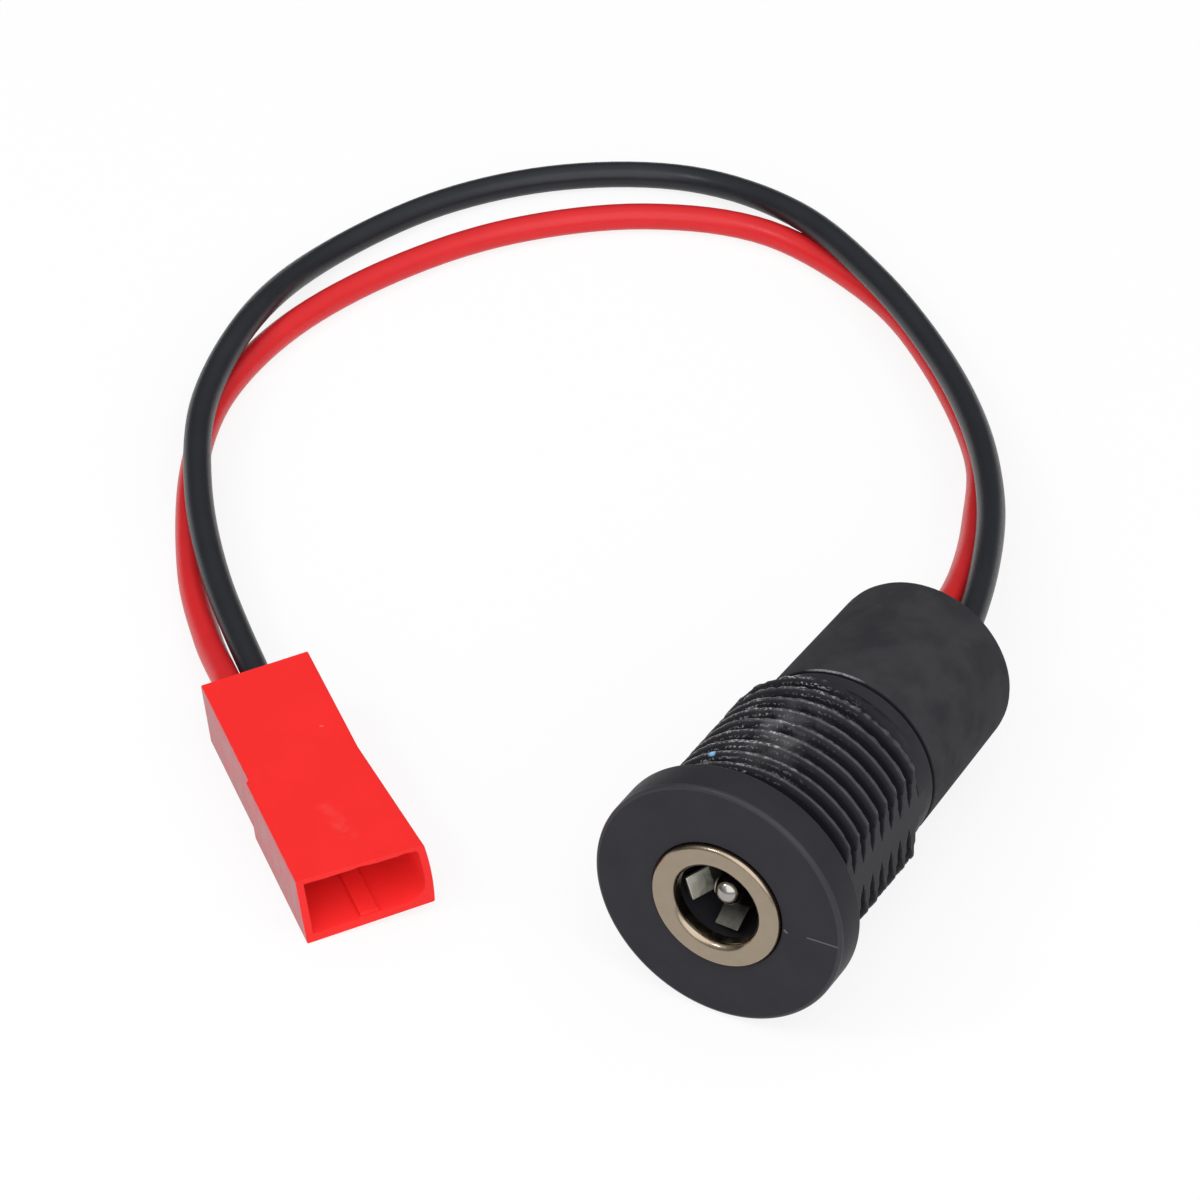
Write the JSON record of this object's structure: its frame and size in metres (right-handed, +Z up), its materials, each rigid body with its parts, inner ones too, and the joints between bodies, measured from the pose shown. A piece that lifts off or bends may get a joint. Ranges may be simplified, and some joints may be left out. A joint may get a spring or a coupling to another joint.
{
  "type": "coaxial charging port",
  "caption": "Round black panel charging port with a flange, a threaded barrel with flats and a rear cover, on a short red and black lead that ends in a red connector housing.",
  "frame": {"origin": "on the table, under the middle of the port as it lies at rest, without its lead", "axes": "+Z up, -Y the way the socket faces, +X to the right seen from the front"},
  "size_m": [0.0705, 0.0839, 0.0171],
  "materials": {
    "black_plastic": "satin moulded",
    "ring_nickel": "warm nickel plate",
    "contact_metal": "nickel plate",
    "carrier_plastic": "matt",
    "solder": "dull",
    "red_insulation": "satin",
    "black_insulation": "satin",
    "copper": "bright",
    "red_plastic": "satin moulded"
  },
  "bodies": {
    "root": {"jack_body": "black_plastic", "front_ring": "ring_nickel", "contact_carrier": "carrier_plastic", "centre_pin": "contact_metal", "sleeve_contact": "contact_metal", "switch_contact": "contact_metal", "rear_cover": "black_plastic", "pin_solder": "solder", "sleeve_solder": "solder", "red_wire": "red_insulation", "black_wire": "black_insulation", "red_strands": "copper", "black_strands": "copper", "connector_housing": "red_plastic", "red_crimp_contact": "contact_metal", "black_crimp_contact": "contact_metal"}
  },
  "joints": []
}
